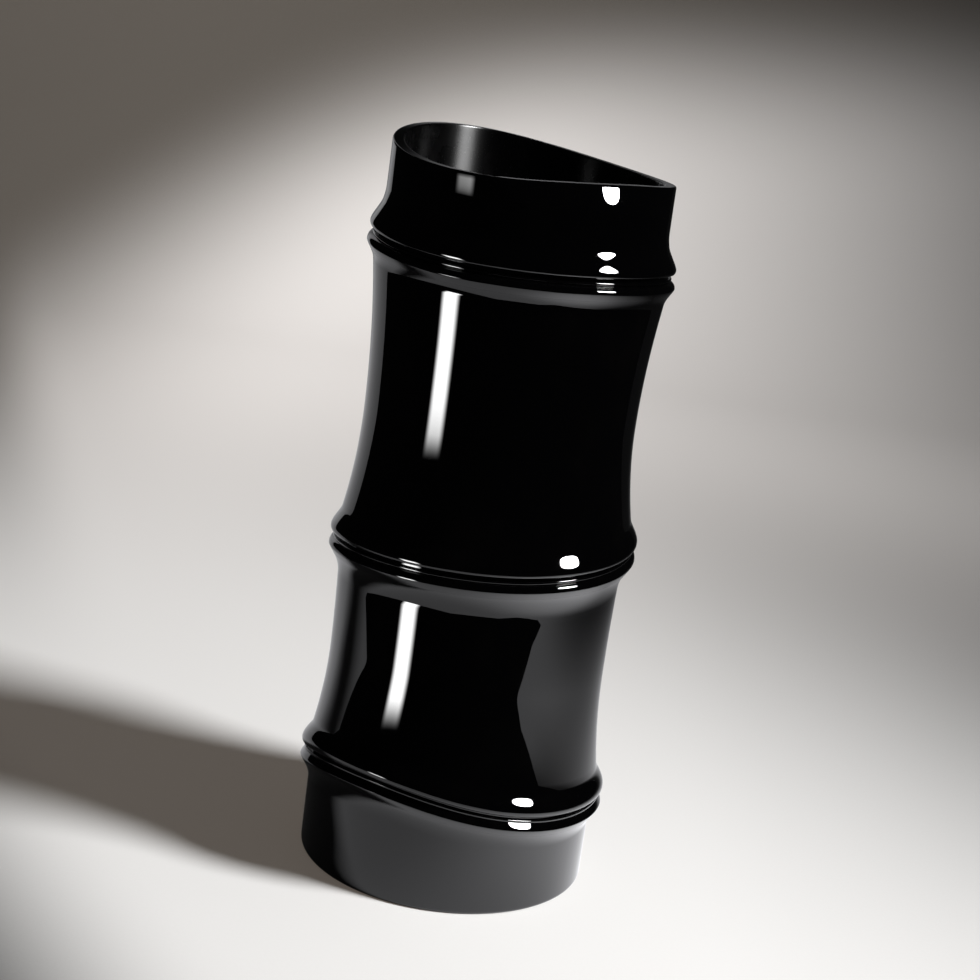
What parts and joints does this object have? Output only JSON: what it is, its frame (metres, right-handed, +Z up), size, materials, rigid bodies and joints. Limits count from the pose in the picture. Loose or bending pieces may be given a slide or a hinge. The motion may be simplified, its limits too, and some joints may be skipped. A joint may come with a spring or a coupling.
{
  "type": "vase",
  "caption": "Tall black art glass vase shaped like a bamboo stalk, with waisted sections, a rounded bead at each node, a waving rim and a flat base, for water and cut stems.",
  "frame": {"origin": "centre of the base, on the table", "axes": "+Z up along the stalk, +X to the right and +Y away from the viewer of the picture"},
  "size_m": [0.1068, 0.1068, 0.2511],
  "materials": {
    "black_glass": "fire-polished opaque black glass with a mirror gloss"
  },
  "bodies": {
    "root": {"base_floor": "black_glass", "foot_section": "black_glass", "lower_node_ring": "black_glass", "lower_section": "black_glass", "middle_node_ring": "black_glass", "upper_section": "black_glass", "upper_node_ring": "black_glass", "mouth_section": "black_glass"}
  },
  "joints": []
}
